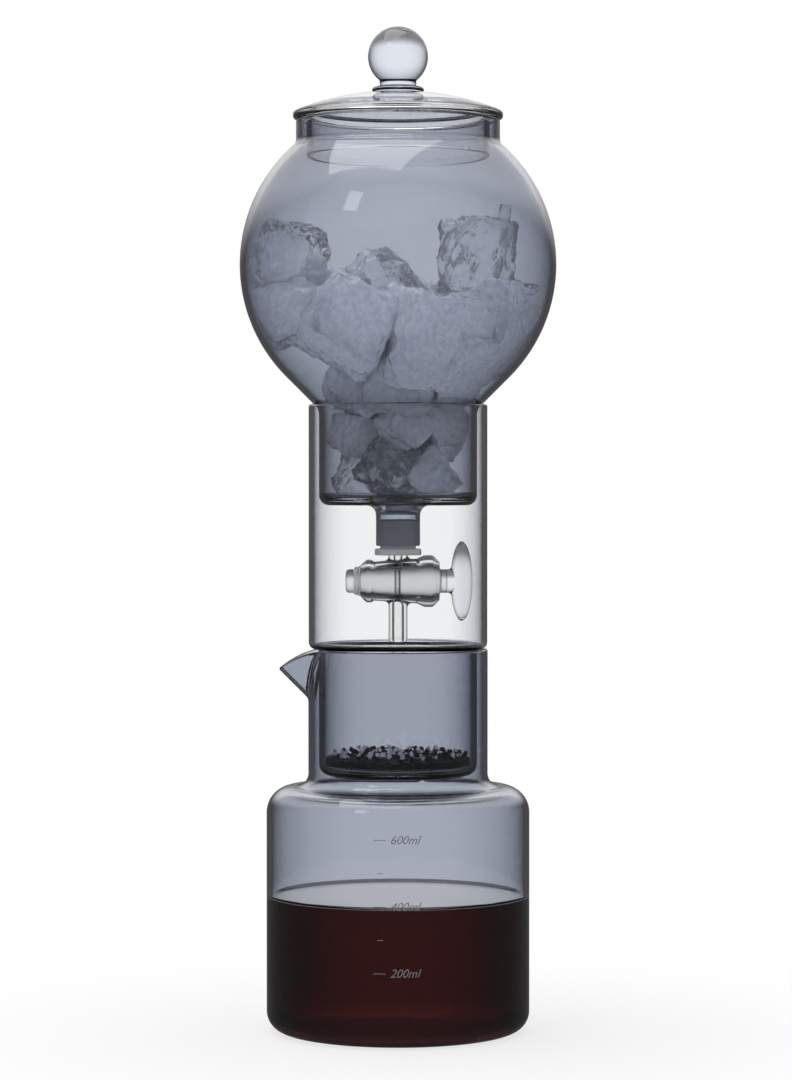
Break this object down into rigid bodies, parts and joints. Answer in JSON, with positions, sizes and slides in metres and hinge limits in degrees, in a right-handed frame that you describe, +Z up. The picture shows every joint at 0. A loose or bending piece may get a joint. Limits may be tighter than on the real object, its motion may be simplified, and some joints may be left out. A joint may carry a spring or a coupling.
{
  "type": "cold drip coffee tower",
  "caption": "Glass cold drip tower: lidded water globe with a drip stopcock, a coffee column with a loose filter, and a spouted carafe, nested one on another.",
  "frame": {"origin": "on the table under the tower's axis", "axes": "+Z up along the tower's axis, -X towards the pouring spout, +X towards the valve handle"},
  "size_m": [0.126, 0.126, 0.3999],
  "materials": {
    "smoke_glass": "polished, smoke tint",
    "clear_glass": "polished",
    "grey_silicone": "satin",
    "clear_silicone": "satin, translucent",
    "steel": "brushed"
  },
  "bodies": {
    "carafe_body": {"carafe": "smoke_glass"},
    "column_body": {"coffee_column": "clear_glass"},
    "filter_body": {"filter_rim": "steel", "filter_mesh": "steel"},
    "globe_body": {"water_globe": "smoke_glass", "silicone_stopper": "grey_silicone", "valve_barrel": "clear_glass"},
    "plug_body": {"valve_plug": "clear_glass", "valve_handle": "clear_glass", "retaining_ring": "clear_silicone", "thrust_washer": "clear_silicone"},
    "lid_body": {"lid_dome": "clear_glass", "lid_knob": "clear_glass"}
  },
  "joints": [
    {"name": "column_lift", "type": "slide", "parent": "carafe_body", "child": "column_body", "axis": [0, 0, 1], "range_m": [0, 0.14]},
    {"name": "filter_lift", "type": "slide", "parent": "column_body", "child": "filter_body", "axis": [0, 0, 1], "range_m": [0, 0.045]},
    {"name": "globe_lift", "type": "slide", "parent": "column_body", "child": "globe_body", "axis": [0, 0, 1], "range_m": [0, 0.11]},
    {"name": "valve_turn", "type": "hinge", "parent": "globe_body", "child": "plug_body", "pos_m": [0, 0, 0.17937], "axis": [1, 0, 0], "continuous": true},
    {"name": "lid_lift", "type": "slide", "parent": "globe_body", "child": "lid_body", "axis": [0, 0, 1], "range_m": [0, 0.04]}
  ]
}
